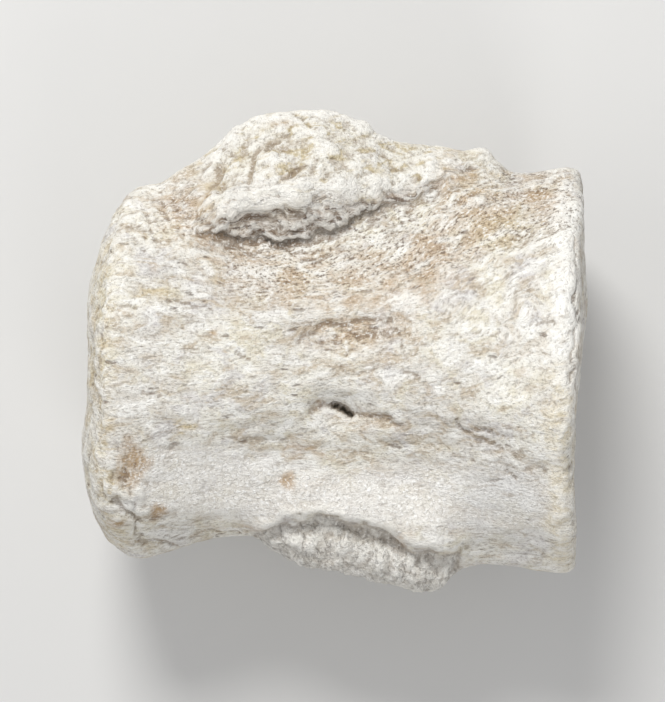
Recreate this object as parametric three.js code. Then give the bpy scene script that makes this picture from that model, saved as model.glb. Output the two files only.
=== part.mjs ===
// The fossil of a brontothere's tail vertebra, in millimetres, as it lies with its belly side up.
// The centrum is a drum with a waist: two thick rims joined by a hollowed shaft. A transverse process
// grew from each flank, and the neural arch from the back, and all of them are broken off near the root.
// +X runs along the tail, +Y to the larger broken process, +Z up. The bone rests on the stumps of its
// neural arch, with the middle of its footprint at the origin.
//
// A long drum of evenly spaced rings is laid round the axis of the centrum, and each of its vertices is
// then moved along its own ray until it meets the surface of the bone. That surface is a field: a
// function that is negative inside the bone and positive outside it, in millimetres.

import * as THREE from 'three';
import { mergeVertices } from 'three/addons/utils/BufferGeometryUtils.js';

// Driving dimensions.
const HALF_LENGTH = 33.0; // from the middle of the shaft to either end
const AXIS_Y = -2.8; // the centrum's own axis, beside the middle of the footprint
const AXIS_Z = 22.0;
const WAIST = { belly: 18.4, back: 17.4, flank: 19.9 }; // from the axis to the shaft's surface
const TAIL_RIM = { belly: 22.0, back: 20.5, wide: 23.2, narrow: 23.8 }; // the -X rim
const HEAD_RIM = { belly: 22.6, back: 20.7, wide: 25.4, narrow: 25.7 }; // the +X rim
const RIM_ROUNDING = 3.2;
const SECTION_POWER = 2.35; // 2 is an ellipse, more is squarer

const smoothstep = (low, high, value) => {
  const t = Math.min(1, Math.max(0, (value - low) / (high - low)));
  return t * t * (3 - 2 * t);
};
const mix = (a, b, t) => a + (b - a) * t;

// Two fields joined, or one kept only inside the other, with a fillet about `round` wide.
function join(a, b, round) {
  const h = Math.max(round - Math.abs(a - b), 0) / round;
  return Math.min(a, b) - h * h * round / 4;
}
const within = (a, b, round) => -join(-a, -b, round);
const carve = (body, tool, round) => within(body, -tool, round);

// Smooth noise from -1 to 1, the same every time.
function lattice(i, j, k) {
  const s = Math.sin(i * 127.1 + j * 311.7 + k * 74.7) * 43758.5453;
  return 2 * (s - Math.floor(s)) - 1;
}
function noise(x, y, z) {
  const [i, j, k] = [Math.floor(x), Math.floor(y), Math.floor(z)];
  const [u, v, w] = [x - i, y - j, z - k].map((t) => t * t * (3 - 2 * t));
  let sum = 0;
  for (let corner = 0; corner < 8; corner++) {
    const [a, b, c] = [corner & 1, (corner >> 1) & 1, corner >> 2];
    const weight = (a ? u : 1 - u) * (b ? v : 1 - v) * (c ? w : 1 - w);
    sum += weight * lattice(i + a, j + b, k + c);
  }
  return sum;
}
function roughness(x, y, z, size) {
  return noise(x / size, y / size, z / size) + 0.5 * noise(2.1 * x / size, 2.1 * y / size, 2.1 * z / size);
}

// The outline of each flank seen from above, and the lip where its process broke, as y over x.
const outline = (...points) => {
  const curve = new THREE.SplineCurve(points.map(([x, y]) => new THREE.Vector2(x, y)));
  const samples = curve.getPoints(24 * points.length);
  return (x) => {
    if (x <= samples[0].x) return samples[0].y;
    const next = samples.findIndex((p) => p.x > x);
    if (next < 0) return samples[samples.length - 1].y;
    const [a, b] = [samples[next - 1], samples[next]];
    return mix(a.y, b.y, (x - a.x) / (b.x - a.x));
  };
};
const wideEdge = outline(
  [-27, 21.2], [-22.6, 21.9], [-20.5, 23.7], [-17.8, 25.2], [-12.6, 29.5], [-9.9, 31.2], [-6.6, 31.8],
  [-2, 31.9], [3.5, 30.4], [5.9, 28.7], [8.5, 27.6], [13.8, 27.3], [19, 25.9], [21.6, 24.8],
  [24.3, 23.4], [29.5, 23.4],
);
const narrowEdge = outline(
  [-28.1, -26.2], [-25.7, -27.2], [-20.5, -25.6], [-16.5, -23.6], [-11.9, -23.2], [-9.7, -24.1],
  [-7.3, -26.6], [-4.7, -28.3], [0.6, -29.3], [8.5, -31.3], [11.1, -32], [13.8, -31.5],
  [16.4, -29.5], [19, -28.2], [25, -28], [29.5, -28.5],
);
const wideLip = outline(
  [-20, 19.5], [-15.5, 17.4], [-10, 18.6], [-2, 18.7], [4.5, 19.6], [8.5, 20.4], [12.4, 22], [17, 25],
);
const wideFoot = outline([-20, 18], [-15, 15.4], [-10, 15.6], [-3, 15.9], [1.6, 17], [5.8, 18.6], [15, 22]);
const narrowLip = outline(
  [-14, -25.5], [-11, -23.7], [-7, -21.9], [-1, -21.5], [3.6, -22.5], [7.5, -23.2], [9.8, -25.2],
  [14.9, -26.4], [19, -28.4],
);

// The centrum: a drum with a waist, domed at one end and flatter at the other.
function centrum(x, v, w) {
  const along = Math.min(1, Math.abs(x) / HALF_LENGTH);
  const flare = 1 - (1 - along * along) ** 1.35;
  const rim = x < 0 ? TAIL_RIM : HEAD_RIM;
  const wide = mix(WAIST.flank, v > 0 ? rim.wide : rim.narrow, flare);
  const high = w > 0 ? mix(WAIST.belly, rim.belly, flare) : mix(WAIST.back, rim.back, flare);
  const [across, up] = [Math.abs(v) / wide, Math.abs(w) / high];
  const out = (across ** SECTION_POWER + up ** SECTION_POWER) ** (1 / SECTION_POWER);
  const side = (out - 1) * Math.min(wide, high);
  return within(within(side, tailEnd(x, v, w), RIM_ROUNDING), headEnd(x, v, w), RIM_ROUNDING * 0.8);
}

// The tail end is a low dome, hollowed a little at its middle.
function tailEnd(x, v, w) {
  const sideways = v > 0 ? 6.2 * (v / 24.5) ** 2.1 : 5.2 * (-v / 24.5) ** 4;
  const dome = sideways + 3.2 * Math.abs(w / 21.3) ** 2.3;
  const hollow = 1.2 * Math.exp(-((v / 9) ** 2) - ((w / 8) ** 2));
  return -x - (HALF_LENGTH + 0.35 - dome - hollow);
}

// The head end is nearly flat, with one low swelling beside a shallow hollow.
function headEnd(x, v, w) {
  const swelling = 1.7 * Math.exp(-(((v - 9.5) / 9) ** 2) - (((w - 2) / 12) ** 2));
  const hollow = 1.8 * Math.exp(-(((v + 6) / 9) ** 2) - (((w + 1) / 9) ** 2));
  const fall = 1.0 * Math.abs(w / 21.5) ** 3;
  const corner = Math.exp(-(((v - 23) / 4.5) ** 2));
  const bulge = 0.5 * Math.exp(-(((v - 4) / 5) ** 2)) - 0.9 * Math.exp(-(((v + 13) / 6) ** 2));
  return x - (HALF_LENGTH - 1.2 + swelling + corner + bulge - hollow - fall);
}

// The crests along the flanks.
const CREST_DEPTH = 11;
const CREST_THIN = 0.9; // half its thickness at the outline
const CREST_SLOPE = 0.75; // how fast it thickens inwards
const CREST_FILLET = 4.5;
const WIDE_CREST_LEVEL = 28;
const NARROW_CREST_LEVEL = 28.5;

// A thin crest that runs along a flank out to its outline, and thickens towards the shaft.
function crest(y, z, edge, side, level) {
  const inward = side * (edge - y);
  const wedge = Math.abs(z - level) - CREST_THIN - CREST_SLOPE * Math.min(CREST_DEPTH, Math.max(0, inward));
  return within(within(wedge, -inward, 1.2), inward - 1.6 * CREST_DEPTH, 1.2) * 0.85;
}

// A bar with round ends, as fat as its two radii: the root that a process grew from.
function root(x, y, z, { start, end, radii }) {
  const span = [end[0] - start[0], end[1] - start[1], end[2] - start[2]];
  const reach = [x - start[0], y - start[1], z - start[2]];
  const length = Math.hypot(...span);
  const along = (reach[0] * span[0] + reach[1] * span[1] + reach[2] * span[2]) / length;
  const t = Math.min(1, Math.max(0, along / length));
  const away = Math.hypot(reach[0] - t * span[0], reach[1] - t * span[1], reach[2] - t * span[2]);
  return away - mix(radii[0], radii[1], t);
}

// The stump of a transverse process: its broken face slopes from the lip, out and down to the outline.
function stump(x, y, z, { side, edge, lip, edgeLevel, lipLevel, bar, grain }) {
  const slope = (lipLevel - edgeLevel) / Math.abs(edge - lip);
  const rough = grain * roughness(x, y, z, 6);
  const broken = (z - edgeLevel - slope * side * (edge - y)) / Math.hypot(1, slope) + rough;
  const rim = side * (y - edge) + 0.4 * rough;
  return within(within(broken, rim, 2.6), root(x, y, z, bar) + rough, 3);
}

// The steep wall under the inner lip of the larger stump: a plane from the lip down to its foot.
function wall(y, z, { lip, foot, lipLevel, footLevel }) {
  const [run, rise] = [Math.max(0.5, lip - foot), lipLevel - footLevel];
  return ((lip - y) * rise - (lipLevel - z) * run) / Math.hypot(run, rise);
}

// A gutter of round section that follows a line across the bone and runs out at both ends.
function gutter(x, y, z, { line, level, wide, deep, from, to, taper }) {
  const past = Math.max(from - x, x - to, 0) / taper;
  return (Math.hypot((y - line) / wide, (z - level) / deep, past) - 1) * Math.min(wide, deep);
}

// An egg, turned about the vertical, which hollows the surface or swells it.
function egg(x, y, z, { at, size, turn = 0 }) {
  const [dx, dy, dz] = [x - at[0], y - at[1], z - at[2]];
  const [c, s] = [Math.cos(turn), Math.sin(turn)];
  const reach = Math.hypot((c * dx + s * dy) / size[0], (c * dy - s * dx) / size[1], dz / size[2]);
  return (reach - 1) * Math.min(...size);
}

const FLANK_HOLLOW = { at: [1.5, -19.5, 48.4], size: [31, 14, 13.9], turn: -0.05 };
const SIDE_GROOVE = { at: [5, 13.8, 44.6], size: [27, 7.0, 9.3], turn: 0.19 };
const BELLY_FOSSA = { at: [2.2, 2.2, 41.7], size: [7.2, 2.7, 3.1], turn: 0.05 };
const NUTRIENT_HOLE = { at: [1.2, -8.2, 39.8], size: [3.8, 2.2, 2.6], turn: -0.3 };
const WIDE_ROOT = { start: [-8.5, 20.5, 27.4], end: [11, 22.5, 27.5], radii: [11.9, 6.4] };
const WIDE_LIP_LEVEL = { tail: 38.5, head: 33.6 }; // its height falls along the tail
const WIDE_FOOT_LEVEL = { tail: 34.9, head: 33.2 };
const NARROW_LIP_LEVEL = 34.4;
const WIDE_EDGE_LEVEL = 23.5; // where the broken face meets the outline
const NARROW_EDGE_LEVEL = 21.5;
const WIDE_GUTTER = { wide: 2.5, deep: 2.0, from: -8, to: 4, taper: 9 };
const NARROW_GUTTER = { wide: 1.9, deep: 2.0, from: -6, to: 14, taper: 4 };
const SKIN_ROUGHNESS = 0.16;
const NARROW_ROOT = { start: [-3, -20, 24], end: [10.5, -23, 24.5], radii: [10.5, 9.2] };
const SPUR = { at: [19.7, 25.6, 27.6], size: [1.8, 2.3, 1.5] };
const CANAL = { at: [0, AXIS_Y, -1.6], size: [60, 6.8, 5.4] };

// The stump of one side of the neural arch, broken off level and wider towards the shaft.
const ARCH = { middle: -3, halfLength: 14.5, out: 11, halfWidth: 3.6, top: 12 };
function archStump(x, v, z, side) {
  const along = Math.abs(x - ARCH.middle) - ARCH.halfLength - 0.25 * z;
  const across = Math.abs(v - side * ARCH.out) - ARCH.halfWidth - 0.55 * z;
  return within(within(along, across, 3), z - ARCH.top, 2);
}

// The whole bone.
function bone(x, y, z) {
  const [v, w] = [y - AXIS_Y, z - AXIS_Z];
  let field = centrum(x, v, w);
  field = join(field, crest(y, z, wideEdge(x), 1, WIDE_CREST_LEVEL), CREST_FILLET);
  field = join(field, crest(y, z, narrowEdge(x), -1, NARROW_CREST_LEVEL), CREST_FILLET);
  field = within(within(field, tailEnd(x, v, w), 3), headEnd(x, v, w), 1.8);
  field = carve(field, egg(x, y, z, FLANK_HOLLOW), 3.5);
  field = carve(field, egg(x, y, z, SIDE_GROOVE), 2.5);
  const headward = smoothstep(-4, 15, x);
  const [lip, foot] = [wideLip(x), wideFoot(x)];
  const lipLevel = mix(WIDE_LIP_LEVEL.tail, WIDE_LIP_LEVEL.head, headward);
  const footLevel = mix(WIDE_FOOT_LEVEL.tail, WIDE_FOOT_LEVEL.head, headward);
  const wide = stump(x, y, z, {
    side: 1, edge: wideEdge(x), lip, edgeLevel: WIDE_EDGE_LEVEL, lipLevel, bar: WIDE_ROOT, grain: 0.8,
  });
  field = join(field, within(wide, wall(y, z, { lip, foot, lipLevel, footLevel }), 0.9), 1.2);
  field = carve(field, gutter(x, y, z, { line: foot - 1.2, level: footLevel + 1.2, ...WIDE_GUTTER }), 1.4);
  field = join(field, stump(x, y, z, {
    side: -1, edge: narrowEdge(x), lip: narrowLip(x), edgeLevel: NARROW_EDGE_LEVEL,
    lipLevel: NARROW_LIP_LEVEL, bar: NARROW_ROOT, grain: 0.6,
  }), 2.4);
  field = carve(field, gutter(x, y, z, {
    line: narrowLip(x) - NARROW_GUTTER.wide, level: NARROW_LIP_LEVEL - 0.6, ...NARROW_GUTTER,
  }), 0.8);
  field = join(field, egg(x, y, z, SPUR), 1.4);
  field = carve(field, egg(x, y, z, BELLY_FOSSA), 1.8);
  field = carve(field, egg(x, y, z, NUTRIENT_HOLE), 2.2);
  field = join(field, archStump(x, v, z, 1), 3);
  field = join(field, archStump(x, v, z, -1), 3);
  field = carve(field, egg(x, y, z, CANAL), 1.5);
  return field + SKIN_ROUGHNESS * roughness(x / 2, y, z, 4);
}

// The drum: rings along the axis and across both ends, each the same step apart.
const DRUM_RADIUS = 25;
const END_RINGS = 8;
const SIDE_RINGS = 50;
const SPOKES = 88;
const CROWDING = 0.45; // how much closer the spokes stand on the belly side, where the bone has most detail
const ANCHOR_REACH = 19; // rays start no further along the axis than this
const ANCHOR_SPREAD = 17; // and no further to either side of it
const UPRIGHTNESS = 2.2; // more makes the rays over the belly more nearly upright

function drumProfile() {
  const profile = [];
  const ring = (radius, along) => profile.push(new THREE.Vector2(radius, along));
  for (let i = 0; i < END_RINGS; i++) ring(DRUM_RADIUS * i / END_RINGS, -HALF_LENGTH);
  for (let i = 0; i <= SIDE_RINGS; i++) ring(DRUM_RADIUS, HALF_LENGTH * (2 * i / SIDE_RINGS - 1));
  for (let i = END_RINGS - 1; i >= 0; i--) ring(DRUM_RADIUS * i / END_RINGS, HALF_LENGTH);
  return profile;
}

// Turns a point of the drum about its axis, towards the belly side.
function crowded(point) {
  const angle = Math.atan2(point.z, point.y);
  const turned = angle + CROWDING * Math.cos(angle);
  const radius = Math.hypot(point.y, point.z);
  return point.set(point.x, radius * Math.cos(turned), radius * Math.sin(turned));
}

// Walks out along a ray until it leaves the bone, then closes in on the surface.
const STEP = 0.5;
const HALVINGS = 16;
const LONGEST_RAY = 60;
function surfaceAlong(origin, direction) {
  const point = new THREE.Vector3();
  const field = (t) => {
    point.copy(origin).addScaledVector(direction, t);
    return bone(point.x, point.y, point.z);
  };
  let far = STEP;
  while (far < LONGEST_RAY && field(far) < 0) far += STEP;
  let near = far - STEP;
  for (let i = 0; i < HALVINGS; i++) {
    const middle = (near + far) / 2;
    if (field(middle) < 0) near = middle;
    else far = middle;
  }
  return origin.clone().addScaledVector(direction, (near + far) / 2);
}

// A ray that crosses the drum at a point of it. It starts beside the axis on the point's own side, and
// over the belly it is nearly upright.
function rayThrough(point) {
  const radius = Math.hypot(point.y, point.z);
  const across = radius > 0 ? point.y / radius : 0;
  const lean = Math.sign(across) * Math.abs(across) ** UPRIGHTNESS;
  const rise = radius > 0 ? point.z / radius : 0;
  const [u, w] = [lean / Math.hypot(lean, rise) || 0, rise / Math.hypot(lean, rise) || 0];
  const offset = Math.sign(across) * ANCHOR_SPREAD * (1 - (1 - Math.abs(across)) ** 2) * radius / DRUM_RADIUS;
  const reach = -offset * u + Math.sqrt((offset * u) ** 2 + radius ** 2 - offset ** 2);
  const along = Math.max(-ANCHOR_REACH, Math.min(ANCHOR_REACH, point.x));
  const origin = new THREE.Vector3(along, AXIS_Y + offset, AXIS_Z);
  return [origin, new THREE.Vector3(point.x - along, reach * u, reach * w).normalize()];
}

// The stumps of the arch are worn level where the bone stands on them.
const FOOT_LEVEL = 0.45;

function boneGeometry() {
  const drum = new THREE.LatheGeometry(drumProfile(), SPOKES);
  drum.rotateZ(-Math.PI / 2);
  drum.deleteAttribute('normal');
  drum.deleteAttribute('uv');
  const geometry = mergeVertices(drum, 1e-3);
  const place = geometry.getAttribute('position');
  for (let i = 0; i < place.count; i++) {
    const nominal = crowded(new THREE.Vector3().fromBufferAttribute(place, i));
    const found = surfaceAlong(...rayThrough(nominal));
    place.setXYZ(i, found.x, found.y, Math.max(found.z, FOOT_LEVEL));
  }
  return geometry;
}

// Moves a shape so that it stands on the floor over the origin.
function standAtOrigin(geometry) {
  geometry.computeBoundingBox();
  const { min, max } = geometry.boundingBox;
  geometry.translate(-(min.x + max.x) / 2, -(min.y + max.y) / 2, -min.z);
  return geometry;
}

const material = new THREE.MeshStandardMaterial({ color: 0xd9d0c0, roughness: 0.8, metalness: 0 });
const vertebra = new THREE.Mesh(standAtOrigin(boneGeometry()), material);
vertebra.name = 'vertebra';

const part = new THREE.Group();
part.add(vertebra);
export default part;
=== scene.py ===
# %% [markdown]
# A fossil tail vertebra, life size, lying on a pale table with its belly side up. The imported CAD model
# gives the true size and the main shapes. This script makes the bone that is seen: it takes a copy of
# the CAD bone, divides it finely, sculpts what rock and weather left on it, and gives it a bone finish.

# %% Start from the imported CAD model
import itertools
import math

import bpy
import numpy as np
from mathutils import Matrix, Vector


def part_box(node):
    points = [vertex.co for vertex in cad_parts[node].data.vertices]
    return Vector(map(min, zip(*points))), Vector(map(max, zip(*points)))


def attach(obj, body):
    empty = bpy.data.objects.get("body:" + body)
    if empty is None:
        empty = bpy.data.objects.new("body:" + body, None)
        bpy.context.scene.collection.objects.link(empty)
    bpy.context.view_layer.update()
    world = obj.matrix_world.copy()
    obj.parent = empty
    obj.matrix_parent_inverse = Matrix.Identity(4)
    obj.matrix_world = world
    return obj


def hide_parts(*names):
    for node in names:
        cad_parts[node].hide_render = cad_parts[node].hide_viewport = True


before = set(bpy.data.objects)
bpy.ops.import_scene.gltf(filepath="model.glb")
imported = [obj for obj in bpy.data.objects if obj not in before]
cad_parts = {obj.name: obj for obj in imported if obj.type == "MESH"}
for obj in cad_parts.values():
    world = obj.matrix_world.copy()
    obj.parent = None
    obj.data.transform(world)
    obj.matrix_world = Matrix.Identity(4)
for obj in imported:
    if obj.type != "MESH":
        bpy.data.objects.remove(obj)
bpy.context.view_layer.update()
MM = 0.001  # m
low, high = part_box("vertebra")
print("CAD bone, mm:", [round((b - a) / MM, 2) for a, b in zip(low, high)])

# %% [markdown]
# The camera looks straight down at the bone from 30 cm above its outline, which gives the slight
# perspective of a close picture. Its lens is worked out from the scale of the picture: so many pixels
# to a millimetre at the level of the bone's outline.

# %% Camera
PICTURE = (665, 702)  # pixels
PIXELS_PER_MM = 7.6  # at the outline's level
MIDDLE_PIXEL = (335.5, 350.0)  # the pixel over the origin
OUTLINE_LEVEL = 27.0  # mm above the table
EYE_HEIGHT = 300.0  # mm above the outline
SENSOR = 36.0  # mm
NEAREST_SEEN = 0.01  # m

eye = Vector((
    (PICTURE[0] / 2 - MIDDLE_PIXEL[0]) / PIXELS_PER_MM,
    (MIDDLE_PIXEL[1] - PICTURE[1] / 2) / PIXELS_PER_MM,
    OUTLINE_LEVEL + EYE_HEIGHT,
))
camera_data = bpy.data.cameras.new("camera")
camera_data.sensor_width = SENSOR
camera_data.lens = SENSOR * EYE_HEIGHT * PIXELS_PER_MM / PICTURE[1]
camera_data.clip_start = NEAREST_SEEN
camera = bpy.data.objects.new("camera", camera_data)
camera.location = eye * MM
bpy.context.scene.collection.objects.link(camera)
bpy.context.scene.camera = camera
print("lens, mm:", round(camera_data.lens, 1))

# %% [markdown]
# One soft lamp, twice as wide as the bone, stands over its far side as a window would, and shows the
# grain by raking across it. Two weaker lamps and a pale surrounding open the shadows.

# %% Lights and table
AIM = (0, 0, 20)  # mm, inside the bone
LAMPS = {  # place in mm, width in mm, power in watts
    "window": ((-70, 250, 330), 130, 1.3),
    "left_fill": ((-380, 0, 260), 300, 0.3),
    "near_fill": ((120, -330, 300), 200, 0.42),
}
ROOM_COLOUR = (0.95, 0.96, 1.0, 1)
ROOM_STRENGTH = 0.47
TABLE_SIZE = 6  # m

for name, (place, width, power) in LAMPS.items():
    lamp = bpy.data.lights.new(name, "AREA")
    lamp.shape = "DISK"
    lamp.size = width * MM
    lamp.energy = power
    holder = bpy.data.objects.new(name, lamp)
    holder.location = Vector(place) * MM
    holder.rotation_euler = (Vector(AIM) - Vector(place)).to_track_quat("-Z", "Y").to_euler()
    bpy.context.scene.collection.objects.link(holder)

world = bpy.data.worlds.new("room")
world.use_nodes = True
world.node_tree.nodes["Background"].inputs["Color"].default_value = ROOM_COLOUR
world.node_tree.nodes["Background"].inputs["Strength"].default_value = ROOM_STRENGTH
bpy.context.scene.world = world
bpy.context.scene.view_settings.view_transform = "Standard"

bpy.ops.object.select_all(action="DESELECT")
bpy.ops.mesh.primitive_plane_add(size=TABLE_SIZE, location=(0, 0, 0))
table = bpy.context.object
table.name = "table"
print("table at", round(table.location.z, 3), "under", len(LAMPS), "lamps")

# %% [markdown]
# Shader maths. A socket is wrapped so that Python's own signs add Math nodes, and every other node
# comes from one method that takes the node's type, its settings and what goes into its sockets.

# %% Material helpers
class Wire:
    """A node's output, which Python's arithmetic signs can work on."""

    def __init__(self, recipe, socket):
        self.recipe = recipe
        self.socket = socket

    def math(self, operation, first, second):
        return self.recipe.node("ShaderNodeMath", {"operation": operation}, {0: first, 1: second})

    def __add__(self, other):
        return self.math("ADD", self, other)

    def __radd__(self, other):
        return self.math("ADD", other, self)

    def __sub__(self, other):
        return self.math("SUBTRACT", self, other)

    def __rsub__(self, other):
        return self.math("SUBTRACT", other, self)

    def __mul__(self, other):
        return self.math("MULTIPLY", self, other)

    def __rmul__(self, other):
        return self.math("MULTIPLY", other, self)


class Recipe:
    """The nodes of one material."""

    def __init__(self, name):
        self.material = bpy.data.materials.new(name)
        self.material.use_nodes = True
        self.tree = self.material.node_tree
        self.tree.nodes.clear()

    def node(self, kind, settings=None, sockets=None, output=0):
        made = self.tree.nodes.new(kind)
        for name, value in (settings or {}).items():
            setattr(made, name, value)
        for name, value in (sockets or {}).items():
            if isinstance(value, Wire):
                self.tree.links.new(value.socket, made.inputs[name])
            else:
                made.inputs[name].default_value = value
        return Wire(self, made.outputs[output]) if made.outputs else None

    def attribute(self, name, output="Fac"):
        """What the script stored on the points under a name."""
        return self.node("ShaderNodeAttribute", {"attribute_name": name}, output=output)

    def range(self, value, low, high, to_low=0.0, to_high=1.0):
        """The value's range between low and high, eased onto a new one."""
        return self.node(
            "ShaderNodeMapRange", {"interpolation_type": "SMOOTHSTEP"},
            {"Value": value, "From Min": low, "From Max": high, "To Min": to_low, "To Max": to_high},
        )

    def place(self, scale=(1, 1, 1), turn=(0, 0, 0)):
        """Object coordinates in millimetres, stretched and turned."""
        here = self.node("ShaderNodeTexCoord", output="Object")
        return self.node(
            "ShaderNodeMapping", None,
            {"Vector": here, "Scale": [s / MM for s in scale], "Rotation": turn},
        )

    def noise(self, place, scale, detail=3, rough=0.5, warp=0.0):
        return self.node(
            "ShaderNodeTexNoise", None,
            {"Vector": place, "Scale": scale, "Detail": detail, "Roughness": rough, "Distortion": warp},
        )

    def blend(self, base, over, share):
        """Colour over laid on colour base."""
        return self.node("ShaderNodeMix", {"data_type": "RGBA"}, {0: share, 6: base, 7: over}, 2)

    def coats(self, tone, layers):
        """Named colours laid on a tone one after the other, each where its own share lets it."""
        for over, share in layers.values():
            tone = self.blend(tone, colour(*over), share)
        print("coats:", ", ".join(layers))
        return tone

    def surface(self, sockets):
        shader = self.node("ShaderNodeBsdfPrincipled", None, sockets)
        self.node("ShaderNodeOutputMaterial", None, {"Surface": shader})
        return self.material


def colour(red, green, blue):
    """A colour from its sRGB values, 0 to 255, as the linear values that Blender works with."""
    share = [c / 255 for c in (red, green, blue)]
    return [c / 12.92 if c <= 0.04045 else ((c + 0.055) / 1.055) ** 2.4 for c in share] + [1.0]


print("half grey, 128 of 255, is", round(colour(128, 128, 128)[0], 3), "as a linear value")

# %% [markdown]
# The table is a plain, matt and nearly white board. Very wide and faint clouds keep it from looking
# like a blank page, and nothing on it draws the eye from the bone.

# %% Table finish
TABLE_SHADE = colour(206, 205, 202)
TABLE_LIGHT = colour(211, 210, 207)
TABLE_CLOUDS = 0.02  # to a millimetre, so that one cloud is 50 mm wide
TABLE_ROUGHNESS = 0.9

board = Recipe("table_finish")
drifting = board.noise(board.place((TABLE_CLOUDS, TABLE_CLOUDS, TABLE_CLOUDS)), 1.0)
table.data.materials.append(board.surface({
    "Base Color": board.blend(TABLE_SHADE, TABLE_LIGHT, drifting),
    "Roughness": TABLE_ROUGHNESS,
}))
print("table finish:", table.data.materials[0].name)

# %% [markdown]
# The bone that is seen starts as a copy of the CAD bone. Its loose triangles are merged and paired into
# squares, and two rounds of subdivision give a smooth skin whose points stand about 0.4 mm apart, fine
# enough to sculpt. Digital clay or a scan would be other ways to start.

# %% A fine copy of the bone
SAME_POINT = 0.01 * MM
ANY_ANGLE = math.pi
ROUNDS = 2


def work_on(thing):
    """Selects one object alone and makes it the active one."""
    bpy.ops.object.select_all(action="DESELECT")
    thing.select_set(True)
    bpy.context.view_layer.objects.active = thing


bone = bpy.data.objects.new("bone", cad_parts["vertebra"].data.copy())
bpy.context.scene.collection.objects.link(bone)
bone.data.materials.clear()
work_on(bone)
bpy.ops.object.mode_set(mode="EDIT")
bpy.ops.mesh.select_all(action="SELECT")
bpy.ops.mesh.remove_doubles(threshold=SAME_POINT)
bpy.ops.mesh.tris_convert_to_quads(face_threshold=ANY_ANGLE, shape_threshold=ANY_ANGLE)
bpy.ops.object.mode_set(mode="OBJECT")
smooth = bone.modifiers.new("smooth", "SUBSURF")
smooth.levels = smooth.render_levels = ROUNDS
bpy.ops.object.modifier_apply(modifier="smooth")
bpy.ops.object.shade_smooth()
print("points:", len(bone.data.vertices), "faces:", len(bone.data.polygons))

# %% [markdown]
# Sculpting by numbers needs the points as arrays: where each one is in millimetres, which way the
# surface faces there, and which pixel of the picture shows it. Places on the bone are then named by
# the pixel where they appear, and only the side that faces the camera answers to them.

# %% The clay
SEEN = (-0.1, 0.2)  # how far a surface leans towards the camera, from not at all to wholly seen


def ease(start, end, value):
    """0 up to start, 1 from end on, and smooth between. Start may be above end."""
    share = np.clip((value - start) / (end - start), 0, 1)
    return share * share * (3 - 2 * share)


class Clay:
    """The points of a mesh in millimetres, to be pushed and pulled."""

    def __init__(self, mesh):
        self.mesh = mesh
        self.pairs = np.array([e.vertices[:] for e in mesh.edges])
        self.count = len(mesh.vertices)
        self.friends = np.bincount(self.pairs.ravel(), minlength=self.count)[:, None]
        self.drift = np.zeros((self.count, 2))
        self.refresh()

    def read(self, what):
        values = np.empty(self.count * 3, np.float32)
        self.mesh.vertices.foreach_get(what, values)
        return values.reshape(-1, 3).astype(float)

    def refresh(self):
        """Reads the mesh again and works out the pixel of each point, which may drift from its place."""
        self.at = self.read("co") / MM
        self.facing = self.read("normal")
        nearer = EYE_HEIGHT / (eye.z - self.at[:, 2])
        self.pixel_x = PICTURE[0] / 2 + PIXELS_PER_MM * (self.at[:, 0] - eye.x) * nearer + self.drift[:, 0]
        self.pixel_y = PICTURE[1] / 2 - PIXELS_PER_MM * (self.at[:, 1] - eye.y) * nearer + self.drift[:, 1]
        self.seen = ease(*SEEN, self.facing[:, 2])

    def push(self, amount, way=None):
        """Moves the surface out by an amount in mm, along its own normals or all one way."""
        heading = self.facing if way is None else np.array(way, float)
        self.set(self.at + heading * np.reshape(amount, (-1, 1)))

    def set(self, places):
        self.mesh.vertices.foreach_set("co", (places * MM).astype(np.float32).ravel())
        self.mesh.update()
        self.refresh()

    def around(self, values):
        """The mean of each point's neighbours."""
        total = np.zeros_like(values)
        for k in range(values.shape[1]):
            total[:, k] = np.bincount(self.pairs[:, 0], values[self.pairs[:, 1], k], self.count)
            total[:, k] += np.bincount(self.pairs[:, 1], values[self.pairs[:, 0], k], self.count)
        return total / self.friends

    def relaxed(self, rounds):
        """The places that the points take when each gives way to its neighbours, round by round."""
        places = self.at
        for _ in range(rounds):
            places = (places + self.around(places)) / 2
        return places

    def melt(self, where, rounds):
        """Evens the clay out where a mask says so."""
        self.set(self.at + where[:, None] * (self.relaxed(rounds) - self.at))

    def oval(self, x, y, wide, tall, turn=0.0, soft=1.0):
        """1 inside an oval of the picture, easing to 0 at its edge. Turn is in degrees, clockwise."""
        across, down = self.pixel_x - x, self.pixel_y - y
        c, s = math.cos(math.radians(turn)), math.sin(math.radians(turn))
        reach = np.hypot((across * c + down * s) / wide, (down * c - across * s) / tall)
        return self.seen * ease(1, 1 - soft, reach)

    def from_line(self, line):
        """The distance in pixels from a line of points in the picture."""
        here = np.stack([self.pixel_x, self.pixel_y], 1)
        nearest = np.full(self.count, np.inf)
        for a, b in zip(np.array(line[:-1], float), np.array(line[1:], float)):
            share = np.clip((here - a) @ (b - a) / ((b - a) @ (b - a)), 0, 1)
            nearest = np.minimum(nearest, np.linalg.norm(here - a - share[:, None] * (b - a), axis=1))
        return nearest

    def stroke(self, line, width, soft=1.0):
        """1 along a line of the picture, easing to 0 at half its width on either side."""
        return self.seen * ease(width / 2, width / 2 * (1 - soft), self.from_line(line))

    def below(self, line):
        """How far a point lies below a line that runs from left to right, in pixels."""
        xs, ys = zip(*line)
        return self.pixel_y - np.interp(self.pixel_x, xs, ys)


clay = Clay(bone.data)
print("clay, mm:", clay.at.min(0).round(2), clay.at.max(0).round(2))

# %% [markdown]
# Worn bone is never smooth. Two kinds of noise roughen it: a cloudy one that swells and sinks, and a
# creased one, whose rounded lumps meet in thin seams as crumbs do. Both come from fixed tables, so that
# the bone is the same each time. A displacement modifier could lay noise on the whole bone at once, but
# here each place needs its own noise and its own edge.

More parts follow.
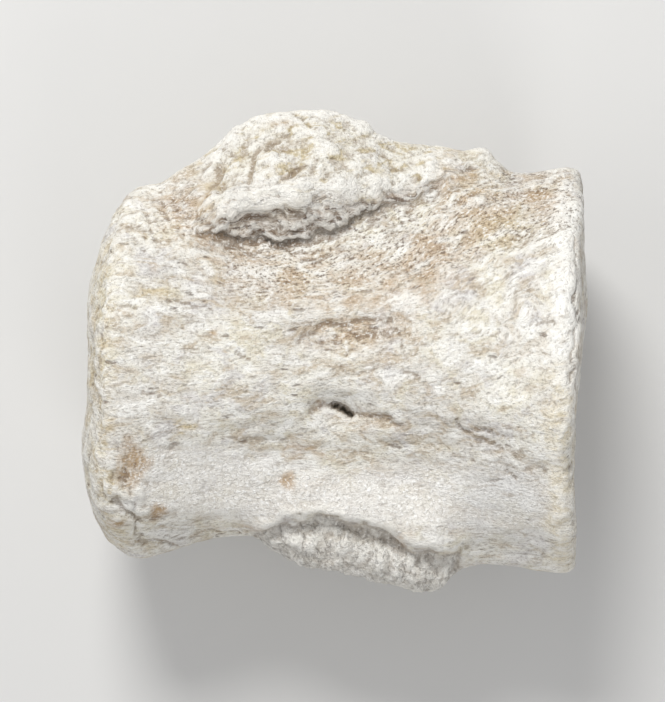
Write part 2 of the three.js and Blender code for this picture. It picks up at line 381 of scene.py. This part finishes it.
# %% Noise
OCTAVE_SHIFT = 9.7  # moves each finer layer aside, so that the layers don't line up
draw = np.random.default_rng(31)
ARROWS = draw.normal(size=(256, 3))
ARROWS /= np.linalg.norm(ARROWS, axis=1, keepdims=True)
draw.uniform(size=(256, 3))  # passed over, so that the shuffle stays the one this bone was made with
SHUFFLE = draw.permutation(256)


def pick(cell):
    """A number from 0 to 255 for each cell of space, always the same one."""
    return SHUFFLE[(SHUFFLE[(SHUFFLE[cell[:, 0] & 255] + cell[:, 1]) & 255] + cell[:, 2]) & 255]


def cloud(place):
    """Smooth noise from about -1 to 1, with swells one unit wide."""
    cell = np.floor(place).astype(int)
    part = place - cell
    fade = part ** 3 * (part * (part * 6 - 15) + 10)
    total = 0
    for corner in itertools.product((0, 1), repeat=3):
        share = np.prod(np.where(corner, fade, 1 - fade), axis=1)
        total = total + share * np.einsum("ij,ij->i", ARROWS[pick(cell + corner)], part - corner)
    return 1.6 * total


def layered(place, octaves, fade, shape=lambda swell: swell):
    """Noise laid over itself, each layer half as wide as the last and fainter by a factor."""
    return sum(shape(cloud(place * 2 ** k + OCTAVE_SHIFT * k)) * fade ** k for k in range(octaves))


def clouds(size, octaves=3, stretch=(1, 1, 1), shift=0.0, fade=0.5):
    """Layers of cloudy noise over the clay, with swells of a size in mm."""
    return layered(clay.at / (size * np.array(stretch, float)) + shift, octaves, fade)


def creased(size, octaves=3, stretch=(1, 1, 1), shift=0.0, fade=0.55):
    """Rounded lumps of a size in mm with thin creases between them."""
    place = clay.at / (size * np.array(stretch, float)) + shift
    return layered(place, octaves, fade, lambda swell: np.abs(swell) * 2 - 0.5)


print("noise from", clouds(4).min().round(2), "to", clouds(4).max().round(2))

# %% [markdown]
# A line drawn on the clay would look drawn. So the places named by pixels wander a little from where
# they should be, by a noise of their own, and every stroke and edge below comes out ragged. Only round
# the slit in the belly do they stay, because its place is easy to see.

# %% Wandering edges
WANDER = 7.0  # pixels, at the noise's full swing
WANDER_SIZE = 2.8  # mm
STEADY_OVAL = (343, 410, 46, 26)  # x, y, half width and half height in pixels

wander_x = clouds(WANDER_SIZE, 2, shift=21.3)
wander_y = clouds(WANDER_SIZE, 2, shift=37.9)
clay.drift = WANDER * np.stack([wander_x, wander_y], 1)
clay.drift *= 1 - clay.oval(*STEADY_OVAL)[:, None]
clay.refresh()
print("edges wander by up to", np.abs(clay.drift).max().round(1), "pixels")

# %% [markdown]
# The grain of the bone flows along the tail. Past the large process it climbs and fans out to the far
# corner, so the fibres below are laid in coordinates that climb with it.

# %% The flow of the grain
CLIMB = 13.5  # mm, at most
CLIMB_RIGHTWARDS = (235, 660)  # the pixel columns where it starts and ends
CLIMB_UPWARDS = (480, 150)  # the pixel rows
CLIMB_LEVELS = (4, 26)  # mm above the table


def climb():
    """How far in mm the grain has climbed at each point."""
    rise = CLIMB * ease(*CLIMB_RIGHTWARDS, clay.pixel_x) * ease(*CLIMB_UPWARDS, clay.pixel_y)
    return rise * ease(*CLIMB_LEVELS, clay.at[:, 2])


def along_grain():
    """The clay's places in mm, with the climb of the grain taken out."""
    return clay.at - climb()[:, None] * np.array((0, 1, 0))


def fibres(size, long, octaves=3, shift=0.0):
    """Noise with swells of a size in mm, stretched along the grain."""
    return layered(along_grain() / (size * np.array((long, 1, 1))) + shift, octaves, 0.55)


print("the grain climbs up to", climb().max().round(1), "mm")

# %% [markdown]
# The large broken process first. Its lip is a wavy edge, and under it a wall drops to the gutter at its
# foot. The CAD bone has both as clean steps, so they are melted down before anything is laid on them.

# %% The large broken process
WIDE_LIP = [
    (196, 216), (225, 213), (258, 206), (300, 204), (345, 203), (378, 197), (400, 192), (425, 184),
    (447, 172),
]
WALL_FOOT = [
    (196, 228), (225, 234), (270, 240), (288, 240), (330, 231), (348, 224), (380, 207), (400, 200),
    (430, 189), (450, 178),
]
MELT_WIDTH = 80  # pixels
WIDE_LEFT = (188, 222)  # the pixel columns over which the process sets in
WIDE_RIGHT = (462, 432)  # and ends
WIDE_TOP = (60, 120)  # the pixel rows over which its face sets in

stepped = np.maximum(clay.stroke(WIDE_LIP, MELT_WIDTH, 0.6), clay.stroke(WALL_FOOT, MELT_WIDTH, 0.6))
clay.melt(stepped, rounds=30)

past_lip = clay.below(WIDE_LIP)
past_foot = clay.below(WALL_FOOT)
beside = ease(*WIDE_LEFT, clay.pixel_x) * ease(*WIDE_RIGHT, clay.pixel_x) * clay.seen
broken_wide = beside * ease(3, -3, past_lip) * ease(*WIDE_TOP, clay.pixel_y)
wall = beside * ease(-4, 2, past_lip) * ease(4, -3, past_foot)
print("broken face covers", round(float(broken_wide.mean()) * 100, 1), "% of the points")

# %% [markdown]
# Under the lip the torn layers of bone run round the process like the pages of a bent book. They are
# noise in coordinates that follow the lip: long along it and thin across.

# %% Torn layers
LIP_SWELL = 0.25  # mm
WALL_SWELL = 0.3  # mm
GUTTER_DEPTH = 0.35  # mm
LAYER_HEIGHT = 0.44  # mm
WALL_FADES = (390, 310)  # pixel columns
LAYERS_FADE = (370, 290)  # pixel columns

clay.push(LIP_SWELL * beside * ease(-30, -8, past_lip) * ease(6, -6, past_lip))
clay.push(WALL_SWELL * wall * ease(*WALL_FADES, clay.pixel_x))
clay.push(-GUTTER_DEPTH * beside * ease(-5, 3, past_foot) * ease(16, 4, past_foot))


def pages(long, thick, shift):
    """Noise in sheets along the lip, with a length and a thickness in pixels."""
    return cloud(np.stack([clay.pixel_x / long, past_lip / thick, 0 * past_lip + shift], 1))


layers = pages(40, 6.5, 3.3) + 0.6 * pages(22, 3.6, 8.1)
under_lip = beside * ease(-34, -6, past_lip) * ease(3, -4, past_lip) * ease(*LAYERS_FADE, clay.pixel_x)
torn_part = np.clip(wall + under_lip, 0, 1)
clay.push(LAYER_HEIGHT * torn_part * layers)
print("torn layers cover", round(float(torn_part.mean()) * 100, 1), "% of the points")

# %% [markdown]
# The outer face of the process is a slope of crumbled bone with one oval plate left on it. The plate
# and the narrow marks round it are drawn first. Each mark, here and further down, is written as its
# height in millimetres, below nought where it is cut in, its width in pixels, and its line of pixels.
# Then small lumps go over the torn layers, larger ones over the whole face in patches, and wide swells
# over all of it.

# %% The crumbled face
PLATE = (273, 164, 28, 21, -12, 0.8)  # x, y, half width, half height, turn and softness
SWELL_BY_PLATE = (330, 150, 40, 26)
PLATE_HEIGHT = 0.35  # mm
SWELL_HEIGHT = 0.25  # mm
LEFT_RIDGE = [(235, 130), (205, 175)]


def carve(marks):
    """Raises or cuts the clay along named lines, one after the other."""
    for height, width, line in marks.values():
        clay.push(height * clay.stroke(line, width))
    print("marks:", ", ".join(marks))


clay.push(PLATE_HEIGHT * clay.oval(*PLATE) + SWELL_HEIGHT * clay.oval(*SWELL_BY_PLATE))
carve({
    "trench round the plate": (-0.36, 9, [(251, 184), (248, 170), (251, 155), (262, 147), (280, 143)]),
    "trench under the plate": (-0.2, 9, [(262, 187), (274, 184), (284, 178), (296, 173), (306, 167)]),
    "tongue on the lip": (0.4, 13, [(238, 205), (256, 196), (280, 190), (302, 187)]),
    "notch in the far edge": (-0.3, 8, [(294, 106), (298, 118), (306, 124)]),
    "groove at the left end": (-0.2, 9, [(222, 168), (214, 182), (206, 196)]),
    "ridge at the left end": (0.3, 12, LEFT_RIDGE),
    "crease at the foot": (-0.25, 9, [(228, 236), (250, 241), (270, 243), (287, 244), (315, 239)]),
})
crumbly = np.clip(broken_wide + 0.55 * wall, 0, 1)
clay.push(torn_part * 0.26 * creased(1.9, 3, stretch=(1.8, 1, 1), shift=51.3))
patchy = ease(-0.3, 0.3, clouds(5.0, 2, shift=41.3))
clay.push(crumbly * (0.1 + 0.14 * patchy) * creased(2.9, 3, shift=4.1, fade=0.6))
clay.push(crumbly * 0.42 * clouds(4.4, 3, shift=14.1, fade=0.45))
print("clay, mm:", clay.at.min(0).round(2), clay.at.max(0).round(2))

# %% [markdown]
# The smaller process on the other flank broke off flatter. Its lip is a thin wavy edge, and the face
# under it shows the split fibres of the bone. Lip and face are pushed up and down rather than along
# their normals, which would fold so sharp an edge over.

# %% The small broken process
NARROW_LIP = [
    (190, 541), (215, 535), (252, 532), (268, 526), (283, 517), (295, 521), (307, 517), (326, 512),
    (340, 514), (350, 521), (371, 524), (388, 529), (398, 536), (412, 546), (440, 552), (457, 552),
    (465, 548), (476, 564),
]
NARROW_LEFT = (240, 268)  # the pixel columns over which the lip sets in
NARROW_RIGHT = (478, 460)  # and ends
FACE_LEFT = (236, 262)  # the same for the face under it
FACE_RIGHT = (476, 455)
CORNER_CREASE = [(256, 540), (268, 549), (284, 558)]
LIP_RISE = 0.22  # mm
FACE_DROP = 0.7  # mm

facing_up = ease(-0.35, -0.05, clay.facing[:, 2])
clay.melt(facing_up * ease(36, 20, clay.from_line(NARROW_LIP)), rounds=5)
past_rim = clay.below(NARROW_LIP)
along_rim = ease(*NARROW_LEFT, clay.pixel_x) * ease(*NARROW_RIGHT, clay.pixel_x) * facing_up
clay.push(LIP_RISE * along_rim * ease(-14, -4, past_rim) * ease(3, -2, past_rim), (0, -0.2, 1))
clay.push(-FACE_DROP * along_rim * ease(0, 5, past_rim) * ease(24, 10, past_rim), (0, -0.1, 1))

past_rim = clay.below(NARROW_LIP)
broken_narrow = ease(*FACE_LEFT, clay.pixel_x) * ease(*FACE_RIGHT, clay.pixel_x)
broken_narrow = broken_narrow * ease(0, 5, past_rim) * facing_up
split = clouds(1.0, 2, stretch=(1, 3.0, 3.0), shift=2.5)
clay.push(broken_narrow * (0.16 * split + 0.2 * creased(2.9, 3, shift=5.5, fade=0.6)))
clay.push(broken_narrow * 0.42 * clouds(4.6, 2, stretch=(1, 1.6, 1.6), shift=25.5))
carve({"crease at the left corner": (-0.45, 14, CORNER_CREASE)})
print("small break covers", round(float(broken_narrow.mean()) * 100, 1), "% of the points")

# %% [markdown]
# Between the processes lies the belly of the centrum. An eye-shaped hollow marks its middle, and below
# it the slit of the hole that let a blood vessel in. A raised line borders the groove on the far side.

# %% The belly
EYE = (352, 333, 54, 17, 3)
EYE_SURROUND = (356, 345, 76, 40)
SLIT = [(334, 405), (343, 409), (351, 415)]
BEAD_RING = (536, 471, 12, 11, 0, 0.6)
BEAD = (535, 471, 6, 6, 0, 0.7)

clay.push(-0.12 * clay.oval(*EYE))
carve({
    "upper lid of the eye": (-0.2, 15, [(303, 342), (322, 329), (345, 320), (372, 317), (392, 320)]),
    "lower lid": (0.18, 14, [(318, 357), (350, 356), (385, 346)]),
    "ring": (-0.16, 9, [(398, 331), (409, 334), (414, 345), (407, 355), (400, 346), (398, 331)]),
    "curl": (-0.14, 9, [(341, 362), (347, 372), (362, 373), (378, 366)]),
})
clay.push(clay.oval(*EYE_SURROUND) * 0.14 * creased(1.7, 2, stretch=(1.5, 1, 1), shift=31.1))
carve({
    "groove of the vessel": (-0.35, 16, [(312, 409), (334, 404), (353, 413), (374, 418), (396, 425)]),
    "slit": (-1.1, 10, SLIT),
    "line beside the far groove": (0.25, 14, [(440, 203), (478, 196), (520, 186), (560, 178)]),
    "ridge to the far corner": (0.2, 16, [(500, 262), (530, 248), (575, 238)]),
    "hollow by the large process": (-0.25, 22, [(470, 170), (455, 190), (430, 200)]),
})
clay.push(-0.16 * clay.oval(*BEAD_RING) + 0.2 * clay.oval(*BEAD))
carve({
    "scratch": (-0.2, 8, [(478, 441), (492, 445), (502, 453)]),
    "ridge to the bead": (0.22, 11, [(480, 456), (505, 457), (525, 466)]),
})
print("clay, mm:", clay.at.min(0).round(2), clay.at.max(0).round(2))

# %% [markdown]
# A fine line on both rims shows where the end plates fused on in life, and the right rim stands a
# little more proud. The near left corner is weathered into lumps with a loose flake and cracks round
# them, and the far left corner is wrinkled like a burl in wood.

# %% Rims and lumps
LUMPS = (130, 492, 52, 66)
RIM_LINES = ([(566, 180), (566, 540)], [(108, 250), (92, 340), (92, 470)])
RIM_WIDTH = 34  # pixels
FAR_CORNER = (150, 225, 80, 62)

carve({
    "seam of the left end plate": (-0.15, 8, [(106, 262), (98, 330), (97, 420), (103, 500)]),
    "seam of the right end plate": (-0.25, 7, [(577, 236), (576, 300), (572, 380)]),
    "right rim": (0.2, 24, [(562, 190), (563, 300), (560, 420), (562, 540)]),
})
lumps = clay.oval(*LUMPS)
clay.push(lumps * (0.3 * clouds(3.4, 3, shift=3.7) + 0.2 * creased(3.0, 3, shift=13.7)))
rim = sum(clay.stroke(line, RIM_WIDTH) for line in RIM_LINES)
clay.push(rim * 0.16 * creased(3.2, 3, shift=23.7))
carve({
    "flake": (0.4, 10, [(108, 492), (122, 497), (132, 503)]),
    "crack under the flake": (-0.35, 8, [(112, 501), (128, 508), (140, 520)]),
    "crack round the lowest lump": (-0.35, 7, [(136, 522), (135, 534), (142, 542), (158, 546), (175, 543)]),
})
carve({
    f"weathering line {k + 1}": (-0.13, 6, [(114 + 7 * k, 442), (120 + 8 * k, 462), (112 + 9 * k, 486)])
    for k in range(4)
})
corner = clay.oval(*FAR_CORNER)
leaning = clay.at[:, 0] / 0.9 + clay.at[:, 1] / 2.2
burl = cloud(np.stack([leaning, clay.at[:, 1] / 2.0, clay.at[:, 2] / 2.0], 1))
clay.push(corner * (0.18 * creased(2.4, 3, shift=1.3) + 0.26 * burl))
print("clay, mm:", clay.at.min(0).round(2), clay.at.max(0).round(2))

# %% [markdown]
# The grain comes last. Fibres run along the tail as low ridges, weak in the smooth flank hollow and
# on the wall, and none on the broken faces. Short cracks follow them. The sides and the back, which
# lay in the rock, are evenly weathered.

# %% Grain
FLANK_HOLLOW = [(165, 478), (230, 482), (300, 500), (380, 506), (450, 500), (540, 505)]
FLANK_WIDTH = 92  # pixels
FLANK_FADES = (420, 480)  # pixel columns
CRACKS = [
    [(108, 305), (134, 308)], [(176, 303), (196, 307), (214, 312)], [(236, 352), (250, 358)],
    [(148, 392), (163, 397)], [(300, 262), (330, 258)], [(455, 420), (463, 428), (472, 430)],
    [(476, 426), (489, 429)], [(405, 372), (422, 375)], [(488, 330), (504, 334)], [(538, 322), (552, 326)],
    [(170, 534), (205, 536), (248, 533)], [(505, 472), (511, 478)], [(258, 240), (292, 252), (322, 254)],
]
CRACK_DEPTH = 0.28  # mm
CRACK_WIDTH = 6  # pixels

flank = clay.stroke(FLANK_HOLLOW, FLANK_WIDTH, 0.55) * ease(4, -8, clay.below(NARROW_LIP))
polish = np.clip(flank * (1 - 0.5 * ease(*FLANK_FADES, clay.pixel_x)), 0, 1)
broken = np.clip(broken_wide + broken_narrow, 0, 1)
rough = (1 - 0.8 * polish) * (1 - broken) * (1 - 0.7 * wall)
clay.push(clay.seen * rough * (0.22 * fibres(3.4, 3.0, 4, 1.9) + 0.08 * fibres(1.0, 3.4, 2, 6.1)))
clay.push(clay.seen * polish * 0.16 * clouds(4.0, 3, shift=15.1))
for crack in CRACKS:
    clay.push(-CRACK_DEPTH * clay.stroke(crack, CRACK_WIDTH))
clay.push((1 - clay.seen) * 0.22 * clouds(3.0, 4, shift=7.7, fade=0.55))
print("fibres and", len(CRACKS), "cracks laid on")

# %% [markdown]
# The bone that is seen should reach no further than the CAD bone. The few points that the sculpting
# brought past its box are drawn back to it.

# %% Back to size
HAIR = 1e-4  # mm, not worth counting
low_mm, high_mm = np.array(low) / MM, np.array(high) / MM
outside = ((clay.at < low_mm - HAIR) | (clay.at > high_mm + HAIR)).any(1)
clay.set(np.clip(clay.at, low_mm, high_mm))
print("points drawn back into the CAD box:", int(outside.sum()))

# %% [markdown]
# The finish needs to know the relief: which points stand proud of their surroundings and which lie in
# hollows, because dirt gathers in one and wear brightens the other. It and the other masks are stored
# on the points, where the material can read them.

# %% Relief and flow for the finish
LAYER_PIXELS_PER_MM = 5  # how the torn layers' own coordinate counts past the lip
LAYER_START = 14  # mm
SLIT_WIDTH = 9  # pixels


def keep(name, values):
    """Stores one number on each point of the bone."""
    layer = bone.data.attributes.new(name, "FLOAT", "POINT")
    layer.data.foreach_set("value", np.asarray(values, np.float32))


def relief(rounds):
    """How far in mm each point stands out from the clay that is relaxed by some rounds."""
    return np.einsum("ij,ij->i", clay.at - clay.relaxed(rounds), clay.facing)


fine = relief(rounds=6)
broad = relief(rounds=60)
keep("fine_relief", fine)
keep("broad_relief", broad)
keep("broken", broken)
keep("polish", polish)
strata = np.clip(wall + 0.7 * under_lip, 0, 1)
keep("wall", strata)
keep("slit", clay.stroke(SLIT, SLIT_WIDTH))
flow = along_grain()
flow[:, 1] += strata * (LAYER_START - past_lip / LAYER_PIXELS_PER_MM - flow[:, 1])
layer = bone.data.attributes.new("flow", "FLOAT_VECTOR", "POINT")
layer.data.foreach_set("vector", flow.astype(np.float32).ravel())
print("relief, mm:", fine.min().round(2), fine.max().round(2), broad.min().round(2), broad.max().round(2))

# %% [markdown]
# Where the bone is open, its pits show, and where it lay in earth, it is stained. These places follow no
# rule that a noise could find, so they are drawn as ovals and lines, each with its share and its name.
# Painting them on by hand would be the other way.

# %% Places of the pits and the earth
PITTED_BAND = [(262, 266), (340, 256), (420, 236), (500, 212), (550, 205)]
PITTED_EYE = (360, 335, 70, 30)
PITTED_CORNER = (190, 210, 80, 60)


def keep_places(name, places):
    """Stores the sum of named masks, which stays between 0 and 1."""
    keep(name, np.clip(sum(places.values()), 0, 1))
    print(name, "at:", ", ".join(places))


pitted = clay.stroke(PITTED_BAND, 120, 0.75)
pitted = np.maximum(pitted, 0.8 * clay.oval(*PITTED_EYE))
pitted = np.maximum(pitted, 0.6 * clay.oval(*PITTED_CORNER))
keep("pitted", np.clip(pitted, 0, 1) * (1 - broken) - 0.3 * (1 - clay.seen))
keep_places("brown", {
    "recess": 0.9 * clay.stroke([(225, 255), (310, 285), (400, 290), (450, 240)], 110, 0.9),
    "eye": 0.9 * clay.oval(352, 336, 72, 34),
    "far left corner": 0.9 * clay.oval(185, 212, 58, 48),
    "far groove": 0.9 * clay.stroke([(450, 178), (500, 205), (552, 195)], 70, 0.9),
    "flaked lump": clay.oval(133, 466, 20, 34, soft=0.6),
    "second lump": clay.oval(158, 512, 11, 13, soft=0.6),
    "lowest lump": clay.oval(116, 525, 8, 6),
    "vessel's groove": 0.5 * clay.stroke([(318, 408), (398, 426)], 34),
    "spot in the flank hollow": clay.oval(288, 478, 9, 12, soft=0.7),
    "streak over the spot": 0.8 * clay.stroke([(284, 452), (292, 446), (318, 450)], 7),
    "far edge of the large process": clay.oval(280, 124, 22, 9, -10),
    "foot of the plate": 0.8 * clay.oval(290, 174, 22, 8, -15),
    "left of the middle": 0.9 * clay.oval(212, 330, 12, 7),
    "left of the small process": 0.7 * clay.stroke([(220, 530), (262, 528)], 14),
    "lip of the small process": 0.8 * clay.oval(405, 538, 12, 8),
})

# %% [markdown]
# The rims and the ground beside the large process are yellowed in places. Other places look cool and
# grey, and under the lip and at the end of the small process that grey is painted shade. Much of what
# stands out is rubbed pale, and the pale strip at the edge of the flank hollow and the pale slope over
# the small process are painted highlights. A few rusty stains go over some of the brown ones.

# %% Places of the other colours
keep_places("yellow", {
    "left rim": 0.45 * clay.stroke([(104, 250), (96, 420), (118, 540)], 44, 0.9),
    "left of the lumps": 0.8 * clay.oval(188, 428, 22, 14, -35),
    "left of the recess": 0.5 * clay.oval(155, 292, 34, 18),
    "under the gutter": 0.4 * clay.oval(220, 280, 26, 9, -12),
    "right rim": 0.6 * clay.stroke([(560, 380), (562, 560)], 44, 0.9),
    "end of the large process": 0.7 * clay.oval(478, 186, 46, 24),
    "far groove": 0.5 * clay.oval(505, 225, 60, 40),
})
keep_places("cool", {
    "near right corner": 0.9 * clay.oval(500, 500, 90, 62),
    # The next two are painted shade, under the lip and on the end of the small process.
    "painted shade under the lip": 0.7 * clay.oval(300, 225, 60, 16, -8),
    "painted shade at the end of the small process": clay.oval(270, 550, 22, 12, 35),
})
keep_places("pale", {
    "right rim": clay.stroke([(566, 200), (564, 330), (560, 560)], 44, 0.7),
    "flake": 0.8 * clay.stroke([(112, 496), (136, 502)], 14),
    "right of the middle": 0.6 * clay.oval(530, 345, 50, 60),
    "ridge of the large process": clay.stroke(LEFT_RIDGE, 15),
    "tongue on the lip": clay.stroke([(240, 203), (300, 187)], 14),
    "plate": 0.4 * clay.oval(274, 162, 24, 15, -12),
    "right of the plate": 0.8 * clay.oval(322, 150, 20, 30),
    "right part of the face": 0.7 * clay.oval(400, 166, 26, 14),
    "far left corner": 0.6 * clay.oval(172, 262, 30, 14, -20),
    "left of the belly": 0.5 * clay.oval(140, 360, 34, 26),
    "over the slit": 0.5 * clay.oval(300, 380, 60, 12, 4),
    # The next two are painted highlights on the glossy flank, not rubbed bone.
    "painted highlight at the edge of the flank hollow": 0.9 * clay.stroke([(158, 476), (235, 468), (312, 462)], 26),
    "painted highlight over the small process": 0.8 * clay.oval(385, 502, 66, 24, 16),
})
keep("narrow", broken_narrow)
keep_places("stained", {
    "flaked lump": clay.oval(131, 464, 22, 32, 12, soft=0.7),
    "second lump": clay.oval(157, 511, 12, 13, soft=0.8),
    "lowest lump": clay.oval(116, 525, 9, 6),
    "spot in the flank hollow": 0.7 * clay.oval(288, 478, 10, 11, soft=0.9),
    "streak over the spot": 0.7 * clay.stroke([(284, 455), (300, 450), (316, 452)], 7),
    "lip of the small process": 0.8 * clay.oval(405, 539, 12, 8),
    "far edge of the large process": 0.7 * clay.oval(280, 124, 18, 8, -10),
    "lip of the large process": 0.8 * clay.oval(380, 198, 9, 6),
    "left of the middle": 0.7 * clay.oval(212, 329, 12, 8),
    "left end of the lip": 0.6 * clay.oval(203, 198, 14, 10),
    "left of the gutter": 0.6 * clay.oval(155, 272, 9, 7),
    "under the far groove": 0.5 * clay.oval(488, 232, 18, 10),
    "far groove": 0.5 * clay.oval(530, 196, 34, 14),
})

# %% [markdown]
# The finish of old bone is chalky ivory. Brown earth sits in its pits and fine hollows, painted shade
# darkens its deep hollows and the slit, and edges are rubbed pale. The flank hollow keeps a faint gloss,
# and painted highlights go on it and on the tops of the grain. A photograph wrapped over the bone would
# be another way, but noise in three dimensions has no seams and can be seen from all sides.

# %% Patterns of the bone finish
old = Recipe("fossil_bone")
even = old.place()
tilted = old.place((1.1, 0.6, 0.6), (0, 0, 0.3))
flow = old.attribute("flow", "Vector")


def stretched(share):
    """The flow of the grain, drawn out along the tail."""
    return old.node("ShaderNodeMapping", None, {"Vector": flow, "Scale": (share, 1, 1)})


clouded = old.noise(even, 0.1, 3, 0.55)
tinted = old.noise(even, 0.23, 4, 0.6, 0.5)
blotched = old.noise(stretched(0.5), 0.55, 5, 0.62, 0.6)
mottled = old.noise(even, 1.2, 3, 0.65, 0.4)
streaked = old.noise(stretched(0.2), 1.2, 3, 0.6, 0.2)
dashed = old.noise(stretched(0.28), 1.0, 2, 0.5)
grained = old.noise(stretched(0.62), 3.1, 3, 0.72)
crumbled = old.noise(even, 2.1, 3, 0.75)
wrinkled = old.noise(even, 2.4, 2, 0.6, 0.9)
torn = old.noise(tilted, 1.0, 4, 0.66, 1.4)

fine_relief = old.attribute("fine_relief")
broad_relief = old.attribute("broad_relief")
is_broken = old.attribute("broken")
is_narrow = old.attribute("narrow")
is_wide = is_broken - is_narrow
is_wall = old.attribute("wall")
is_polished = old.attribute("polish")
is_pitted = old.attribute("pitted")
is_slit = old.attribute("slit")
is_brown = old.attribute("brown")
is_yellow = old.attribute("yellow")
is_cool = old.attribute("cool")
is_pale = old.attribute("pale")
is_stained = old.attribute("stained")
matt = 1 - is_polished * 0.6
texture = old.blend(grained, crumbled, is_broken)
print("patterns and masks:", len(old.tree.nodes), "nodes")

# %% [markdown]
# The ground is two ivories in wide clouds, tinted with cream and grey, and then the tans and the chalky
# white that follow the grain. Over it come the colours of the places that were drawn, among them painted
# highlights in some pale places and painted shade in some grey ones and on the wall under the lip.

# %% Ground colours
ivory_shade = colour(222, 217, 207)
ivory = colour(240, 236, 224)
tone = old.blend(ivory_shade, ivory, old.range(clouded, 0.38, 0.62))
tone = old.coats(tone, {
    "cream": ((226, 217, 190), old.range(tinted, 0.5, 0.64, 0, 0.55)),
    "lilac grey": ((208, 204, 203), old.range(tinted, 0.46, 0.34, 0, 0.6)),
    "tan": ((200, 185, 162), old.range(blotched, 0.5, 0.64, 0, 0.8) * matt),
    "chalk": ((252, 250, 243), old.range(blotched, 0.49, 0.36, 0, 0.85)),
})
tone = old.coats(tone, {
    # Rubbed pale places, and in two of them painted highlights.
    "rubbed places and painted highlights": ((252, 250, 243), is_pale * old.range(tinted, 0.35, 0.6, 0.4, 0.95)),
    "flank hollow": ((227, 223, 216), is_polished * 0.6),
    "broken bone": ((242, 237, 223), is_broken * 0.5),
    # Cool grey, and in two places painted shade.
    "cool grey and painted shade": ((203, 203, 202), is_cool * 0.6),
    "ochre": ((214, 194, 142), is_yellow * old.range(blotched, 0.35, 0.65, 0.2, 0.9)),
    "earth": ((196, 170, 140), is_brown * old.range(blotched, 0.36, 0.62, 0.15, 0.75)),
    # Painted shade on the wall under the lip.
    "wall": ((192, 180, 170), is_wall * 0.5),
})

# %% [markdown]
# The broken faces show the spongy inside. The large one is straw-coloured and brown in its hollows, with
# white crests, and the small one is ash grey, torn into darker and lighter shreds.

# %% Colours of the broken faces
tone = old.coats(tone, {
    "straw": ((204, 188, 148), old.range(blotched, 0.5, 0.62) * is_wide * 0.8),
    "brown mottle": ((166, 150, 126), old.range(mottled, 0.52, 0.68) * is_broken * 0.7),
    "brown hollows": ((182, 165, 140), old.range(broad_relief, 0.02, -0.25) * is_wide * 0.65),
    "white crests": ((254, 252, 246), old.range(broad_relief, 0.08, 0.35) * is_wide * 0.5),
    "ash": ((206, 202, 196), is_narrow * 0.5),
    "dark shreds": ((150, 140, 130), old.range(torn, 0.5, 0.66) * is_narrow * 0.45),
    "light shreds": ((236, 232, 222), old.range(torn, 0.48, 0.36) * is_narrow * 0.4),
})

# %% [markdown]
# Next comes what follows the fibres: fine brown streaks, the dark seams and pale edges of the torn
# layers, short dark dashes where a fibre is gone, and the pits. Rust goes over them.

# %% Streaks, dashes, pits and rust
whole = 1 - is_broken
pits = old.range(texture, 0.48, 0.36)
tone = old.coats(tone, {
    "streaks": ((152, 134, 112), old.range(streaked, 0.56, 0.72) * whole * matt * 0.55),
    "seams of the layers": ((84, 68, 58), old.range(streaked, 0.54, 0.62) * is_wall * 0.8),
    "edges of the layers": ((246, 240, 230), old.range(streaked, 0.48, 0.4) * is_wall * 0.8),
    "dashes": ((116, 98, 82), old.range(dashed, 0.66, 0.74) * whole * matt * 0.7),
    "pits": ((104, 86, 68), pits * (0.38 + is_pitted * 0.45 - is_narrow * 0.25) * matt),
    "rust": ((180, 151, 113), is_stained * old.range(blotched, 0.3, 0.6, 0.45, 0.85)),
})

# %% [markdown]
# Last in colour comes the relief. Dirt fills the low places and wear whitens the high ones. Painted shade
# darkens the deep places and the slit, the flank hollow gets painted glints with painted shade in the
# crinkles between them, and the tops of the grain get painted highlights.

# %% Dirt, wear and painted light
dirt = old.range(fine_relief, -0.01, -0.09)
# Painted shade: the deep places of the broad relief are darkened.
deep = old.range(broad_relief, -0.3, -1.0)
wear = old.range(fine_relief, 0.015, 0.1)
tone = old.coats(tone, {
    "dirt": ((136, 116, 94), dirt * (0.5 + is_brown * 0.3 - is_wide * 0.15 - is_narrow * 0.3)),
    "painted shade in deep places": ((130, 116, 102), deep * 0.3 * (1 - is_narrow * 0.2)),
    # Painted highlights and painted shade: white glints on the flank hollow, darker crinkles between them.
    "painted glints": ((255, 254, 250), old.range(wrinkled, 0.56, 0.64) * is_polished * 0.7),
    "painted shade between the glints": ((168, 160, 148), old.range(wrinkled, 0.45, 0.36) * is_polished * 0.4),
    "wear": ((250, 247, 238), wear * 0.6),
    # Painted highlights on the tops of the grain.
    "painted highlights on the grain tops": ((254, 252, 246), old.range(texture, 0.53, 0.64) * (0.5 + is_pitted * 0.3) * matt),
    # Painted shade inside the slit.
    "slit": ((60, 53, 36), old.range(is_slit, 0.15, 0.8, 0, 0.92)),
})

# %% [markdown]
# Relief finer than the mesh is a bump: the same patterns as in the colours, so that a pit is dark and
# deep in one place. Bone is dull, and only the flank hollow is smoother.

# %% Fine relief and gloss
BUMP_HEIGHT = 1.0 * MM
DULL = 0.75
GLOSSY = 0.36

height = texture * 0.5 * matt + mottled * 0.25 * is_broken + streaked * 0.2 * matt + crumbled * 0.12
height = height + old.range(dashed, 0.66, 0.72, 0, -0.12) * matt
height = height + wrinkled * is_polished * 0.3 - old.range(torn, 0.5, 0.66) * is_narrow * 0.15
bump = old.node("ShaderNodeBump", None, {"Strength": 1.0, "Distance": BUMP_HEIGHT, "Height": height})
bone.data.materials.append(old.surface({
    "Base Color": tone,
    "Roughness": old.range(is_polished, 0, 1, DULL, GLOSSY),
    "Specular IOR Level": 0.4,
    "Normal": bump,
}))
print("bone finish nodes:", len(old.tree.nodes))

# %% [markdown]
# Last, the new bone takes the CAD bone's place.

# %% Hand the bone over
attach(bone, "root")
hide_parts("vertebra")
bpy.context.view_layer.update()
